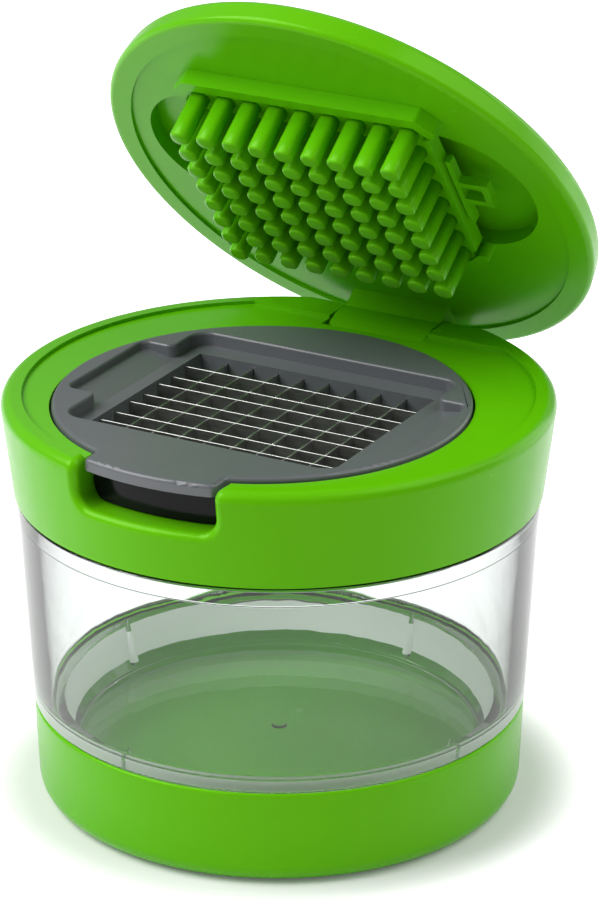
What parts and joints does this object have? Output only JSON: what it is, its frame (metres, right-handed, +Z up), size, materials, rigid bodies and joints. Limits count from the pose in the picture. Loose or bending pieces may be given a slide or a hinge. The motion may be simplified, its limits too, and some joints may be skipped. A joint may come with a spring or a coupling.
{
  "type": "garlic chopper",
  "caption": "Round push-down garlic chopper: a hinged lid with presser pins drives cloves through a blade grid into a clear container on a base cup.",
  "frame": {"origin": "centre of the base cup's flat foot, on the surface the chopper stands on", "axes": "+Z up, -Y towards the finger notch, +Y towards the hinge, +X to the right seen from the notch"},
  "size_m": [0.0896, 0.0954, 0.1327],
  "materials": {
    "green_plastic": "glossy moulded ABS",
    "clear_plastic": "clear moulded SAN",
    "grey_plastic": "satin moulded ABS",
    "black_plastic": "glossy moulded ABS",
    "stainless_steel": "bright strip"
  },
  "bodies": {
    "base": {"base_cup": "green_plastic"},
    "container": {"container": "clear_plastic"},
    "head": {"collar": "green_plastic", "blade_frame": "grey_plastic", "blade_retainer": "black_plastic", "hinge_pin": "stainless_steel", "cross_blade_1": "stainless_steel", "cross_blade_2": "stainless_steel", "cross_blade_3": "stainless_steel", "cross_blade_4": "stainless_steel", "cross_blade_5": "stainless_steel", "cross_blade_6": "stainless_steel", "cross_blade_7": "stainless_steel", "long_blade_1": "stainless_steel", "long_blade_2": "stainless_steel", "long_blade_3": "stainless_steel", "long_blade_4": "stainless_steel", "long_blade_5": "stainless_steel", "long_blade_6": "stainless_steel", "long_blade_7": "stainless_steel", "long_blade_8": "stainless_steel"},
    "lid": {"lid": "green_plastic", "presser": "green_plastic"}
  },
  "joints": [
    {"name": "container_lift", "type": "slide", "parent": "base", "child": "container", "axis": [0, 0, 1], "range_m": [0, 0.014]},
    {"name": "head_lift", "type": "slide", "parent": "container", "child": "head", "axis": [0, 0, 1], "range_m": [0, 0.01]},
    {"name": "lid_hinge", "type": "hinge", "parent": "head", "child": "lid", "pos_m": [0, 0.0378, 0.0603], "axis": [-1, 0, 0], "range_deg": [-53.5, 36.5]}
  ]
}
